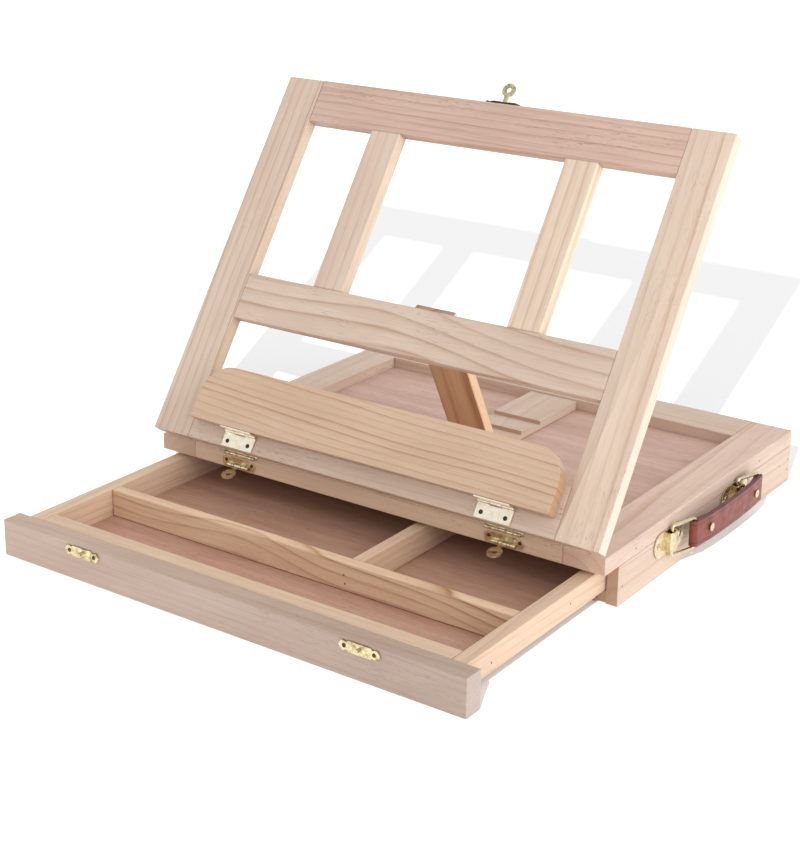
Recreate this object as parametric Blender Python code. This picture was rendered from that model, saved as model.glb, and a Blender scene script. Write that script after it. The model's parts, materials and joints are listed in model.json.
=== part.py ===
"""Desk-top drawing easel: a shallow pine case with a drawer and a hinged, propped drawing frame.

The case stands on the floor plane, its front faces -Y and its width runs along X.
Dimensions are in millimetres and are turned into metres when each mesh is made.
"""
import math

import bmesh
import bpy
from mathutils import Matrix, Vector

MM = 0.001
GAP = 0.3

# Case
CASE_WIDTH = 340.0
CASE_DEPTH = 264.0
CASE_HEIGHT = 37.0
FRONT = -CASE_DEPTH / 2
BACK = CASE_DEPTH / 2
HALF = CASE_WIDTH / 2
TOP_FRAME_UNDERSIDE = 26.0
SIDE_RAIL_WIDTH = 28.5
FRONT_RAIL_DEPTH = 30.0
BACK_RAIL_DEPTH = 34.0
SIDE_BOARD_THICKNESS = 8.0
SIDE_BOARD_SETBACK = 17.0
RUNNER_WIDTH = 6.0
RUNNER_HEIGHT = 8.0
BACK_BOARD_THICKNESS = 10.0
BOTTOM_PANEL_THICKNESS = 2.2
TOP_PANEL_THICKNESS = 3.0

# Sawtooth rack that the prop's foot is set against
RACK_CENTRE = 1.0
RACK_HALF_WIDTH = 19.0
RACK_FRONT = FRONT + 127.8
RACK_PITCH = 25.3
RACK_HEIGHT = 6.2
RACK_LOW_STEP = 3.4

# Drawing frame, hinged along the case's front edge
TILT_DEGREES = 55.7
EASEL_AXIS = (0.0, FRONT - 1.5, 37.3)
FRAME_LENGTH = 264.0
FRAME_THICKNESS = 9.5
STILE_WIDTH = 29.5
BOTTOM_RAIL_WIDTH = 32.9
MID_RAIL = (86.3, 118.3)
TOP_RAIL_START = 233.3
MUNTIN = (63.5, 86.5)
# The frame's own coordinates start at its lower back edge; its hinge axis lies outside that edge.
FRAME_FROM_AXIS = (1.5, 0.3)

# Canvas ledge
LEDGE_HALF_WIDTH = 136.5
LEDGE_SPAN = (12.1, 50.6)
LEDGE_DEPTH = (9.8, 18.8)
LEDGE_CORNER_RADIUS = 21.0
LEDGE_AXIS = (10.8, 11.0)

# Prop leg
PROP_CENTRE = 3.5
PROP_AXIS = (116.5, -1.6)
PROP_WIDTH = 30.0
PROP_FRONT = 1.3
PROP_BACK = -6.3
PROP_LEAN_DEGREES = 27.4

# Drawer, drawn out of the case
DRAWER_TRAVEL = 144.5
DRAWER_FRONT_THICKNESS = 13.5
DRAWER_FACE = FRONT - DRAWER_TRAVEL
DRAWER_WALL_TOP = 23.4
DRAWER_FLOOR = (2.5, 5.0)
DRAWER_SIDE = (151.4, 161.1)

# Brass
BARREL_RADIUS = 1.2
BORE_RADIUS = 0.75
PIN_RADIUS = 0.45
HINGE_WIDTH = 25.4
EASEL_HINGE_X = 101.5
LEDGE_HINGE_X = 98.0
LATCH_X = 102.4
LATCH_AXIS_Z = 29.3
LATCH_AXIS_OUT = 2.0
LATCH_REACH = 9.7
HASP_LIFT_DEGREES = 76.0
TOP_LATCH_OUT = 4.6
BACK_KEEPER_Z = 32.2

# Carrying handle
HANDLE_HEIGHT = 21.0
BRACKET_Y = (FRONT + 79.0, FRONT + 172.0)
RING_AXIS_X = HALF + 2.6
RING_LENGTH = 20.0
RING_HALF_HEIGHT = 9.8
RING_WIRE_RADIUS = 1.2
RING_ANGLE_DEGREES = 16.0
STRAP_HALF_WIDTH = 8.3

for old_object in list(bpy.data.objects):
    bpy.data.objects.remove(old_object)


def finish(name, colour, roughness, metallic):
    surface = bpy.data.materials.new(name)
    surface.use_nodes = True
    shader = surface.node_tree.nodes["Principled BSDF"]
    shader.inputs["Base Color"].default_value = (*colour, 1.0)
    shader.inputs["Roughness"].default_value = roughness
    shader.inputs["Metallic"].default_value = metallic
    surface.diffuse_color = (*colour, 1.0)
    return surface


FINISHES = {
    "pine": ((0.78, 0.58, 0.42), 0.55, 0.0),
    "plywood": ((0.42, 0.25, 0.18), 0.6, 0.0),
    "brass": ((0.80, 0.66, 0.36), 0.3, 1.0),
    "leather": ((0.23, 0.06, 0.04), 0.5, 0.0),
}


def new_object(name, bm):
    """Turn millimetre geometry into a metre mesh object at the origin."""
    bmesh.ops.recalc_face_normals(bm, faces=bm.faces)
    bmesh.ops.scale(bm, vec=(MM, MM, MM), verts=bm.verts)
    mesh = bpy.data.meshes.new(name)
    bm.to_mesh(mesh)
    bm.free()
    item = bpy.data.objects.new(name, mesh)
    bpy.context.scene.collection.objects.link(item)
    return item


def block(name, x, y, z, eased=0.0):
    """Rectangular board between the given limits, with lightly eased edges if asked."""
    bm = bmesh.new()
    bmesh.ops.create_cube(bm, size=1.0)
    size = (x[1] - x[0], y[1] - y[0], z[1] - z[0])
    bmesh.ops.scale(bm, vec=size, verts=bm.verts)
    bmesh.ops.translate(bm, vec=((x[0] + x[1]) / 2, (y[0] + y[1]) / 2, (z[0] + z[1]) / 2), verts=bm.verts)
    if eased:
        bmesh.ops.bevel(bm, geom=bm.edges[:], offset=eased, segments=1, affect='EDGES')
    return new_object(name, bm)


def prism(name, outline, limits, axis):
    """Extrude a closed outline between two limits along X, Y or Z.

    Outline pairs are (y, z) for X, (x, z) for Y and (x, y) for Z.
    """
    place = {
        "X": lambda a, b, depth: (depth, a, b),
        "Y": lambda a, b, depth: (a, depth, b),
        "Z": lambda a, b, depth: (a, b, depth),
    }[axis]
    bm = bmesh.new()
    base = bm.faces.new([bm.verts.new(place(a, b, limits[0])) for a, b in outline])
    extruded = bmesh.ops.extrude_face_region(bm, geom=[base])
    moved = [element for element in extruded["geom"] if isinstance(element, bmesh.types.BMVert)]
    bmesh.ops.translate(bm, vec=place(0.0, 0.0, limits[1] - limits[0]), verts=moved)
    return new_object(name, bm)


def cylinder(name, centre, radius, limits, axis, segments=24):
    """Round bar between two limits along an axis; centre pairs follow prism()."""
    outline = [
        (centre[0] + radius * math.cos(turn), centre[1] + radius * math.sin(turn))
        for turn in (2 * math.pi * step / segments for step in range(segments))
    ]
    return prism(name, outline, limits, axis)


def arc(centre, radius, start, end, steps):
    """Points of a circular arc, angles in degrees."""
    points = []
    for step in range(steps + 1):
        turn = math.radians(start + (end - start) * step / steps)
        points.append((centre[0] + radius * math.cos(turn), centre[1] + radius * math.sin(turn)))
    return points


def combine(target, tool, operation):
    """Apply an exact Boolean and drop the tool body."""
    modifier = target.modifiers.new("Shape", 'BOOLEAN')
    modifier.operation = operation
    modifier.solver = 'EXACT'
    modifier.object = tool
    depsgraph = bpy.context.evaluated_depsgraph_get()
    shaped = bpy.data.meshes.new_from_object(target.evaluated_get(depsgraph))
    target.modifiers.clear()
    target.data = shaped
    bpy.data.objects.remove(tool)
    return target


def add(target, tool):
    return combine(target, tool, 'UNION')


def cut(target, tool):
    return combine(target, tool, 'DIFFERENCE')


def mount(name, location, parent=None, turn_x=0.0, turn_z=0.0):
    """Empty standing on a joint axis; location in millimetres, turns in degrees."""
    holder = bpy.data.objects.new(name, None)
    holder.location = Vector(location) * MM
    holder.rotation_euler = (math.radians(turn_x), 0.0, math.radians(turn_z))
    holder.parent = parent
    bpy.context.scene.collection.objects.link(holder)
    return holder


def finished(item, kind, holder, offset=(0.0, 0.0, 0.0), smooth=False):
    """Give a body its own finish and hang it on its holder."""
    colour, roughness, metallic = FINISHES[kind]
    item.data.materials.clear()
    item.data.materials.append(finish(item.name + "_finish", colour, roughness, metallic))
    item.data.transform(Matrix.Translation(Vector(offset) * MM))
    item.parent = holder
    if smooth:
        item.data.shade_smooth()
        item.data.set_sharp_from_angle(angle=math.radians(35))
    return item


def hinge_leaf(name, width, reach, thickness_span, own_knuckles, other_knuckles):
    """Hinge leaf about an X axis at the origin, reaching along +Y.

    thickness_span is the leaf's lower and upper face; knuckle lists hold X limits.
    """
    clear = BARREL_RADIUS + GAP
    leaf = block(name, (-width / 2, width / 2), (0.0, reach), thickness_span)
    for limits in own_knuckles:
        leaf = add(leaf, cylinder("knuckle", (0.0, 0.0), BARREL_RADIUS, limits, "X"))
    for low, high in other_knuckles:
        leaf = cut(leaf, block("relief", (low - GAP, high + GAP), (-clear, clear), (-clear, clear)))
    bore = cylinder("bore", (0.0, 0.0), BORE_RADIUS, (-width, width), "X", 16)
    return cut(leaf, bore)


def knuckle_split(width, count):
    """Share a barrel of the given width into knuckles, alternating between two leaves."""
    pitch = width / count
    limits = [
        (-width / 2 + pitch * index + (GAP / 2 if index else 0.0),
         -width / 2 + pitch * (index + 1) - (GAP / 2 if index < count - 1 else 0.0))
        for index in range(count)
    ]
    return limits[0::2], limits[1::2]


def turn_about_x(item, degrees):
    item.data.transform(Matrix.Rotation(math.radians(degrees), 4, 'X'))
    return item


case = mount("case_frame", (0.0, 0.0, 0.0))

# --- Case -------------------------------------------------------------------------------------

inner_side = HALF - SIDE_BOARD_THICKNESS
for side, sign in (("left", -1), ("right", 1)):
    board_x = sorted((sign * inner_side, sign * HALF))
    runner_x = sorted((sign * (inner_side - RUNNER_WIDTH), sign * (inner_side + 1.0)))
    board = block("case_" + side + "_side", board_x, (FRONT + SIDE_BOARD_SETBACK, BACK),
                  (0.0, TOP_FRAME_UNDERSIDE - GAP), 0.4)
    runner = block("runner", runner_x,
                   (FRONT + SIDE_BOARD_SETBACK + 0.8, BACK - BACK_BOARD_THICKNESS - GAP),
                   (0.6, RUNNER_HEIGHT))
    finished(add(board, runner), "pine", case)

    rail_x = sorted((sign * (HALF - SIDE_RAIL_WIDTH), sign * HALF))
    rail = block("case_" + side + "_rail", rail_x, (FRONT, BACK), (TOP_FRAME_UNDERSIDE, CASE_HEIGHT), 0.4)
    finished(rail, "pine", case)

rail_half = HALF - SIDE_RAIL_WIDTH - GAP
front_rail = block("case_front_rail", (-rail_half, rail_half), (FRONT, FRONT + FRONT_RAIL_DEPTH),
                   (TOP_FRAME_UNDERSIDE, CASE_HEIGHT), 0.4)
back_rail = block("case_back_rail", (-rail_half, rail_half), (BACK - BACK_RAIL_DEPTH, BACK),
                  (TOP_FRAME_UNDERSIDE, CASE_HEIGHT), 0.4)
back_board = block("case_back", (-(inner_side - GAP), inner_side - GAP),
                   (BACK - BACK_BOARD_THICKNESS, BACK), (0.0, TOP_FRAME_UNDERSIDE - GAP), 0.4)
finished(back_rail, "pine", case)
finished(back_board, "pine", case)

panel_half = inner_side - RUNNER_WIDTH - GAP
finished(block("case_bottom_panel", (-panel_half, panel_half),
               (FRONT + SIDE_BOARD_SETBACK, BACK - BACK_BOARD_THICKNESS - GAP),
               (0.0, BOTTOM_PANEL_THICKNESS)), "plywood", case)
finished(block("case_top_panel", (-rail_half, rail_half),
               (FRONT + FRONT_RAIL_DEPTH + GAP, BACK - BACK_RAIL_DEPTH - GAP),
               (TOP_FRAME_UNDERSIDE, TOP_FRAME_UNDERSIDE + TOP_PANEL_THICKNESS)), "plywood", case)

rack_base = TOP_FRAME_UNDERSIDE + TOP_PANEL_THICKNESS + GAP
rack_top = rack_base + RACK_HEIGHT
rack_end = BACK - BACK_RAIL_DEPTH - GAP
rack_outline = [(RACK_FRONT, rack_base), (RACK_FRONT, rack_top)]
for step in (1, 2):
    riser = RACK_FRONT + RACK_PITCH * step
    rack_outline += [(riser, rack_base + RACK_LOW_STEP), (riser, rack_top)]
rack_outline += [(rack_end, rack_top), (rack_end, rack_base)]
finished(prism("prop_rack", rack_outline,
               (RACK_CENTRE - RACK_HALF_WIDTH, RACK_CENTRE + RACK_HALF_WIDTH), "X"), "pine", case)

# Easel hinges: the case leaf lies in a shallow mortise in the front rail.
own, other = knuckle_split(HINGE_WIDTH, 5)
case_leaf_faces = (-0.95, -0.15)
for side, sign in (("left", -1), ("right", 1)):
    centre = sign * EASEL_HINGE_X
    mortise = block("mortise", (centre - HINGE_WIDTH / 2 - GAP, centre + HINGE_WIDTH / 2 + GAP),
                    (FRONT - 5.0, FRONT + 8.6), (EASEL_AXIS[2] + case_leaf_faces[0] - GAP, CASE_HEIGHT + 5.0))
    front_rail = cut(front_rail, mortise)
    hinge_place = (centre, EASEL_AXIS[1], EASEL_AXIS[2])
    leaf = hinge_leaf("easel_hinge_" + side + "_case_leaf", HINGE_WIDTH, 9.8, case_leaf_faces, own, other)
    finished(leaf, "brass", case, hinge_place, True)
    pin = cylinder("easel_hinge_" + side + "_pin", (0.0, 0.0), PIN_RADIUS,
                   (-HINGE_WIDTH / 2 - 0.4, HINGE_WIDTH / 2 + 0.4), "X", 12)
    finished(pin, "brass", case, hinge_place, True)
finished(front_rail, "pine", case)


def latch_plate(name):
    """Plate with a pointed end in the XZ plane facing -Y, and two lugs about the hasp's axis."""
    half, low, high = 13.75, -2.3, 4.7
    middle = (low + high) / 2
    tip = [(half, 0.0), (half - 1.1, 1.5), (half - 2.3, 2.9), (half - 3.7, 2.9), (half - 4.6, 2.2),
           (half - 5.6, 2.6), (half - 6.4, 3.5)]
    upper = tip + [(-half + 1.2, 3.5), (-half, 2.3)]
    outline = [(x, middle + z) for x, z in upper] + [(x, middle - z) for x, z in reversed(upper[1:])]
    plate = prism(name, outline, (LATCH_AXIS_OUT - 1.1, LATCH_AXIS_OUT - GAP), "Y")
    plate = cut(plate, block("barrel_window", (-3.1, 3.1), (0.5, 2.5), (-1.5, 1.5)))
    for low_x, high_x in ((-8.6, -3.2), (3.2, 8.6)):
        plate = add(plate, cylinder("lug", (0.0, 0.0), 1.3, (low_x, high_x), "X"))
    return cut(plate, cylinder("bore", (0.0, 0.0), 0.85, (-9.5, 9.5), "X", 16))


def latch_keeper(name):
    """Plate facing -Y with shaped ends and a tongue that stands through the hasp's ring."""
    quarter = [(13.75, 0.0), (12.9, 1.5), (11.6, 2.9), (10.2, 2.9), (9.3, 2.3), (8.2, 2.5), (7.4, 3.3)]
    upper = quarter + [(-x, z) for x, z in reversed(quarter)]
    outline = upper + [(x, -z) for x, z in reversed(upper[1:-1])]
    keeper = prism(name, outline, (-1.1, -GAP), "Y")
    return add(keeper, block("tongue", (-0.8, 0.8), (-3.4, -0.7), (-0.6, 0.9)))


def hasp(name):
    """Hasp hanging along -Z from its axle: stem, then a ring with a round hole."""
    body = cylinder(name, (0.0, 0.0), 0.5, (-8.4, 8.4), "X", 16)
    body = add(body, cylinder("barrel", (0.0, 0.0), 1.15, (-2.8, 2.8), "X"))
    body = add(body, block("stem", (-1.7, 1.7), (-0.5, 0.5), (-7.5, 0.0)))
    ring = arc((0.0, -LATCH_REACH), 4.9, 58.0, -238.0, 24)
    body = add(body, prism("ring", ring, (-0.5, 0.5), "Y"))
    return cut(body, cylinder("eye", (0.0, -LATCH_REACH), 1.8, (-2.0, 2.0), "Y"))


for side, sign in (("left", -1), ("right", 1)):
    latch_place = (sign * LATCH_X, FRONT - LATCH_AXIS_OUT, LATCH_AXIS_Z)
    finished(latch_plate("front_latch_" + side + "_plate"), "brass", case, latch_place, True)
    hasp_holder = mount("front_hasp_" + side + "_axis", latch_place, case, -HASP_LIFT_DEGREES)
    finished(hasp("front_hasp_" + side), "brass", hasp_holder, smooth=True)

back_keeper = latch_keeper("back_keeper")
back_keeper.data.transform(Matrix.Rotation(math.pi, 4, 'Z'))
finished(back_keeper, "brass", case, (PROP_CENTRE, BACK, BACK_KEEPER_Z))

# --- Drawing frame, in coordinates (x, along the frame, out of its face) from the hinge axis -----

easel = mount("easel_axis", EASEL_AXIS, case, TILT_DEGREES)


def along(value):
    return value + FRAME_FROM_AXIS[0]


def above(value):
    return value + FRAME_FROM_AXIS[1]


def frame_board(name, x, span):
    return block(name, x, (along(span[0]), along(span[1])), (above(0.0), above(FRAME_THICKNESS)), 0.4)


stile_inner = HALF - STILE_WIDTH
between_stiles = (-(stile_inner - GAP), stile_inner - GAP)
for side, sign in (("left", -1), ("right", 1)):
    stile = frame_board("easel_" + side + "_stile", sorted((sign * stile_inner, sign * HALF)), (0.0, FRAME_LENGTH))
    finished(stile, "pine", easel)
    muntin = frame_board("easel_" + side + "_muntin", sorted((sign * MUNTIN[0], sign * MUNTIN[1])),
                         (MID_RAIL[1] + GAP, TOP_RAIL_START - GAP))
    finished(muntin, "pine", easel)

finished(frame_board("easel_top_rail", between_stiles, (TOP_RAIL_START, FRAME_LENGTH)), "pine", easel)
bottom_rail = frame_board("easel_bottom_rail", between_stiles, (0.0, BOTTOM_RAIL_WIDTH))
mid_rail = frame_board("easel_mid_rail", between_stiles, MID_RAIL)

frame_leaf_faces = (0.15, 0.95)
for side, sign in (("left", -1), ("right", 1)):
    centre = sign * EASEL_HINGE_X
    mortise = block("mortise", (centre - HINGE_WIDTH / 2 - GAP, centre + HINGE_WIDTH / 2 + GAP),
                    (along(-5.0), along(8.6)), (above(-5.0), frame_leaf_faces[1] + GAP))
    bottom_rail = cut(bottom_rail, mortise)
    leaf = hinge_leaf("easel_hinge_" + side + "_frame_leaf", HINGE_WIDTH, 9.8, frame_leaf_faces, other, own)
    finished(leaf, "brass", easel, (centre, 0.0, 0.0), True)
finished(bottom_rail, "pine", easel)

prop_leaf_faces = (1.0, 1.8)
prop_axis_local = (PROP_CENTRE, along(PROP_AXIS[0]), above(PROP_AXIS[1]))
prop_mortise = block("mortise", (PROP_CENTRE - 13.0, PROP_CENTRE + 13.0),
                     (prop_axis_local[1] - 11.3, prop_axis_local[1] + 8.0),
                     (above(-5.0), prop_axis_local[2] + prop_leaf_faces[1] + GAP))
finished(cut(mid_rail, prop_mortise), "pine", easel)

# Top latch: its plate lies on the frame's top edge, its hasp stands beyond it.
top_latch_local = (PROP_CENTRE, along(FRAME_LENGTH + LATCH_AXIS_OUT), above(TOP_LATCH_OUT))
top_plate = latch_plate("top_latch_plate")
top_plate.data.transform(Matrix.Rotation(math.pi, 4, 'Z'))
finished(top_plate, "brass", easel, top_latch_local, True)
top_hasp_holder = mount("top_hasp_axis", top_latch_local, easel, 90.0)
finished(hasp("top_hasp"), "brass", top_hasp_holder, smooth=True)

# --- Canvas ledge --------------------------------------------------------------------------------

ledge_axis_local = (0.0, along(LEDGE_AXIS[0]), above(LEDGE_AXIS[1]))
ledge = mount("ledge_axis", ledge_axis_local, easel)
ledge_low = LEDGE_SPAN[0] - LEDGE_AXIS[0]
ledge_high = LEDGE_SPAN[1] - LEDGE_AXIS[0]
corner = LEDGE_CORNER_RADIUS
ledge_outline = [(-LEDGE_HALF_WIDTH, ledge_low), (LEDGE_HALF_WIDTH, ledge_low)]
ledge_outline += arc((LEDGE_HALF_WIDTH - corner, ledge_high - corner), corner, 0.0, 90.0, 12)
ledge_outline += arc((corner - LEDGE_HALF_WIDTH, ledge_high - corner), corner, 90.0, 180.0, 12)
ledge_board = prism("ledge_board", ledge_outline,
                    (LEDGE_DEPTH[0] - LEDGE_AXIS[1], LEDGE_DEPTH[1] - LEDGE_AXIS[1]), "Z")
finished(ledge_board, "pine", ledge)

ledge_own, ledge_other = knuckle_split(25.0, 3)
for side, sign in (("left", -1), ("right", 1)):
    centre = sign * LEDGE_HINGE_X
    rail_leaf = hinge_leaf("ledge_hinge_" + side + "_rail_leaf", 25.0, 10.3, (0.3, 1.1), ledge_own, ledge_other)
    turn_about_x(rail_leaf, 180.0)
    finished(rail_leaf, "brass", easel, (centre, ledge_axis_local[1], ledge_axis_local[2]), True)
    pin = cylinder("ledge_hinge_" + side + "_pin", (0.0, 0.0), PIN_RADIUS, (-12.9, 12.9), "X", 12)
    finished(pin, "brass", easel, (centre, ledge_axis_local[1], ledge_axis_local[2]), True)
    board_leaf = hinge_leaf("ledge_hinge_" + side + "_board_leaf", 25.0, 7.6, (-1.0, -0.2), ledge_other, ledge_own)
    turn_about_x(board_leaf, 90.0)
    finished(board_leaf, "brass", ledge, (centre, 0.0, 0.0), True)

# --- Prop: leg coordinates are (x, away from the frame face, down the leg) before it is leaned -----

prop_own, prop_other = knuckle_split(25.0, 3)
rail_leaf = hinge_leaf("prop_hinge_rail_leaf", 25.0, 10.6, prop_leaf_faces, prop_own, prop_other)
rail_leaf.data.transform(Matrix.Scale(-1.0, 4, (0.0, 1.0, 0.0)))
rail_leaf.data.flip_normals()
finished(rail_leaf, "brass", easel, prop_axis_local, True)
finished(cylinder("prop_hinge_pin", (0.0, 0.0), PIN_RADIUS, (-12.9, 12.9), "X", 12), "brass", easel,
         prop_axis_local, True)

# The leg hangs along -Z with its front face towards -Y; its holder leans it back to the floor of the rack.
prop = mount("prop_axis", prop_axis_local, easel, PROP_LEAN_DEGREES - TILT_DEGREES)
tilt = math.radians(TILT_DEGREES)
lean = math.radians(PROP_LEAN_DEGREES)
pivot_z = EASEL_AXIS[2] + prop_axis_local[1] * math.sin(tilt) + prop_axis_local[2] * math.cos(tilt)
foot_drop = pivot_z - rack_base


def foot_length(toward_back):
    """Leg length at a given depth so that the foot is cut level with the panel."""
    return (foot_drop + toward_back * math.sin(lean)) / math.cos(lean)


leg_outline = [(-PROP_BACK, 3.0), (1.5, 3.0), (1.5, -1.5), (-PROP_FRONT, -1.5),
               (-PROP_FRONT, -foot_length(-PROP_FRONT)), (-PROP_BACK, -foot_length(-PROP_BACK))]
leg = prism("prop_leg", leg_outline, (-PROP_WIDTH / 2, PROP_WIDTH / 2), "X")
leg = cut(leg, block("mortise", (-12.8, 12.8), (-5.0, 0.1), (-11.3, 3.0)))
finished(leg, "pine", prop)
leg_leaf = hinge_leaf("prop_hinge_leg_leaf", 25.0, 11.0, (-1.0, -0.2), prop_other, prop_own)
turn_about_x(leg_leaf, -90.0)
finished(leg_leaf, "brass", prop, smooth=True)

# --- Drawer ----------------------------------------------------------------------------------------

drawer = mount("drawer_frame", (0.0, DRAWER_FACE, 0.0), case)
wall_start = DRAWER_FRONT_THICKNESS + GAP
drawer_back = FRONT + 108.5 - DRAWER_FACE
wall_low = DRAWER_FLOOR[1] + GAP
inner_half = DRAWER_SIDE[0] - GAP

finished(block("drawer_front", (-HALF, HALF), (0.0, DRAWER_FRONT_THICKNESS), (GAP, 23.7), 0.4), "pine", drawer)
for side, sign in (("left", -1), ("right", 1)):
    wall = block("drawer_" + side + "_side", sorted((sign * DRAWER_SIDE[0], sign * DRAWER_SIDE[1])),
                 (wall_start, drawer_back), (RUNNER_HEIGHT + GAP, DRAWER_WALL_TOP), 0.4)
    skirt = block("skirt", sorted((sign * (DRAWER_SIDE[0] + 0.4), sign * (DRAWER_SIDE[0] + 4.0))),
                  (wall_start + 0.8, drawer_back - 0.8), (DRAWER_FLOOR[0], RUNNER_HEIGHT + 4.0))
    finished(add(wall, skirt), "pine", drawer)
finished(block("drawer_inner_front", (-inner_half, inner_half), (wall_start, wall_start + 11.4),
               (wall_low, DRAWER_WALL_TOP), 0.4), "pine", drawer)
finished(block("drawer_back", (-inner_half, inner_half), (drawer_back - 9.7, drawer_back),
               (wall_low, DRAWER_WALL_TOP), 0.4), "pine", drawer)
divider_start = FRONT - 69.0 - DRAWER_FACE
finished(block("drawer_long_divider", (-inner_half, inner_half), (divider_start, divider_start + 7.7),
               (wall_low, 23.2), 0.4), "pine", drawer)
finished(block("drawer_cross_divider", (35.3, 43.0), (divider_start + 7.7 + GAP, drawer_back - 9.7 - GAP),
               (wall_low, 23.2), 0.4), "pine", drawer)
finished(block("drawer_floor", (-inner_half, inner_half), (wall_start, drawer_back), DRAWER_FLOOR), "plywood", drawer)
for side, sign in (("left", -1), ("right", 1)):
    finished(latch_keeper("drawer_keeper_" + side), "brass", drawer, (sign * LATCH_X, 0.0, 19.2))

# --- Carrying handle on the right side ---------------------------------------------------------------


def handle_bracket(name):
    """Oval plate on the side wall with a bridge over the ring's inner bar; X points out of the wall."""
    outline = arc((11.0, 0.0), 8.0, -90.0, 90.0, 12) + arc((-11.0, 0.0), 8.0, 90.0, 270.0, 12)
    plate = prism(name, outline, (-2.3, -1.5), "X")
    bridge = [(-2.3, -4.4), (1.4, -4.4), (2.4, -3.2), (2.4, 3.2), (1.4, 4.4), (-2.3, 4.4),
              (-2.3, 3.2), (1.0, 3.2), (1.5, 2.6), (1.5, -2.6), (1.0, -3.2), (-2.3, -3.2)]
    return add(plate, prism("bridge", bridge, (-6.2, 6.2), "Z"))


def wire_ring(name):
    """Closed wire ring from its pivot bar at the origin, reaching along +Y."""
    radius = 1.6
    low, high = 0.0, RING_LENGTH
    tall = RING_HALF_HEIGHT
    path = arc((high - radius, tall - radius), radius, 0.0, 90.0, 5)
    path += arc((low + radius, tall - radius), radius, 90.0, 180.0, 5)
    path += arc((low + radius, radius - tall), radius, 180.0, 270.0, 5)
    path += arc((high - radius, radius - tall), radius, 270.0, 360.0, 5)
    curve = bpy.data.curves.new(name, 'CURVE')
    curve.dimensions = '3D'
    curve.bevel_depth = RING_WIRE_RADIUS * MM
    curve.bevel_resolution = 2
    spline = curve.splines.new('POLY')
    spline.points.add(len(path) - 1)
    for point, (reach, height) in zip(spline.points, path):
        point.co = (0.0, reach * MM, height * MM, 1.0)
    spline.use_cyclic_u = True
    wire = bpy.data.objects.new(name + "_wire", curve)
    bpy.context.scene.collection.objects.link(wire)
    depsgraph = bpy.context.evaluated_depsgraph_get()
    mesh = bpy.data.meshes.new_from_object(wire.evaluated_get(depsgraph))
    bpy.data.objects.remove(wire)
    ring = bpy.data.objects.new(name, mesh)
    bpy.context.scene.collection.objects.link(ring)
    return ring


ring_holders = []
for label, bracket_y in zip(("front", "rear"), BRACKET_Y):
    place = (RING_AXIS_X, bracket_y, HANDLE_HEIGHT)
    finished(handle_bracket("handle_bracket_" + label), "brass", case, place)
    holder = mount("handle_ring_" + label + "_axis", place, case, turn_z=-RING_ANGLE_DEGREES)
    finished(wire_ring("handle_ring_" + label), "brass", holder, smooth=True)
    ring_holders.append(holder)

grip = mount("handle_grip_axis", (0.0, RING_LENGTH, 0.0), ring_holders[0], turn_z=RING_ANGLE_DEGREES)
strap_span = BRACKET_Y[1] - BRACKET_Y[0]
loop_radius = 3.0
bow = [(4.4, 16.0), (4.9, 32.0), (5.0, strap_span / 2), (4.9, strap_span - 32.0), (4.4, strap_span - 16.0)]
thickness = 3.2
strap_outline = arc((0.0, 0.0), loop_radius, 115.0, 345.0, 12) + bow
strap_outline += arc((0.0, strap_span), loop_radius, 15.0, 245.0, 12)
strap_outline += [(x - thickness, y) for x, y in reversed(bow)]
strap = prism("handle_grip", strap_outline, (-STRAP_HALF_WIDTH, STRAP_HALF_WIDTH), "Z")
# Each rivet: place along the strap, its foot's limits and its head's limits out of the wall
rivet_places = ((14.8, (-0.4, 0.2), (4.75, 5.5)), (strap_span - 11.2, (-1.1, -0.5), (4.5, 5.3)))
for end in (0.0, strap_span):
    strap = cut(strap, cylinder("loop", (0.0, end), 1.65, (-20.0, 20.0), "Z", 20))
for rivet_y, foot, head in rivet_places:
    strap = cut(strap, cylinder("rivet_hole", (rivet_y, 0.0), 1.5, (-10.0, 10.0), "X", 16))
finished(strap, "leather", grip, smooth=True)
for label, (rivet_y, foot, head) in zip(("front", "rear"), rivet_places):
    shank = (foot[0] + 0.2, head[0] + 0.2)
    rivet = cylinder("handle_rivet_" + label, (rivet_y, 0.0), 1.2, shank, "X", 16)
    rivet = add(rivet, cylinder("head", (rivet_y, 0.0), 2.6, head, "X", 20))
    rivet = add(rivet, cylinder("foot", (rivet_y, 0.0), 2.4, foot, "X", 20))
    finished(rivet, "brass", grip, smooth=True)
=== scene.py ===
"""Looks of the desk easel: procedural pine, plywood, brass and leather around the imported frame."""
import json
import math

import bmesh
import bpy
from mathutils import Matrix, Vector


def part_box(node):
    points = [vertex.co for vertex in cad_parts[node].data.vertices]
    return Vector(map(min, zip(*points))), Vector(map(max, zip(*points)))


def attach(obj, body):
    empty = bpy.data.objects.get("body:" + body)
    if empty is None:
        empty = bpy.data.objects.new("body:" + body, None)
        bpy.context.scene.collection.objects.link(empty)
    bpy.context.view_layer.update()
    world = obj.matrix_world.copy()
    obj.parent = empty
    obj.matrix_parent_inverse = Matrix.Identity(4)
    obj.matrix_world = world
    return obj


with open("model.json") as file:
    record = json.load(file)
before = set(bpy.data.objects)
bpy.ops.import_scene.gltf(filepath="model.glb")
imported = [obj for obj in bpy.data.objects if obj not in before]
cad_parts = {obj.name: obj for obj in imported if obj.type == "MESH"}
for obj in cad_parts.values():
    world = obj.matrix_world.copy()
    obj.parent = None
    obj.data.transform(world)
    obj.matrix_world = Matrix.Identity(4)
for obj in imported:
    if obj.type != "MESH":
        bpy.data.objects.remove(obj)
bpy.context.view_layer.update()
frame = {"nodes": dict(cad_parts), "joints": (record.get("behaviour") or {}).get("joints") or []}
nodes = frame["nodes"]
joints = {joint["name"]: joint for joint in frame["joints"]}
MM = 0.001

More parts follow.
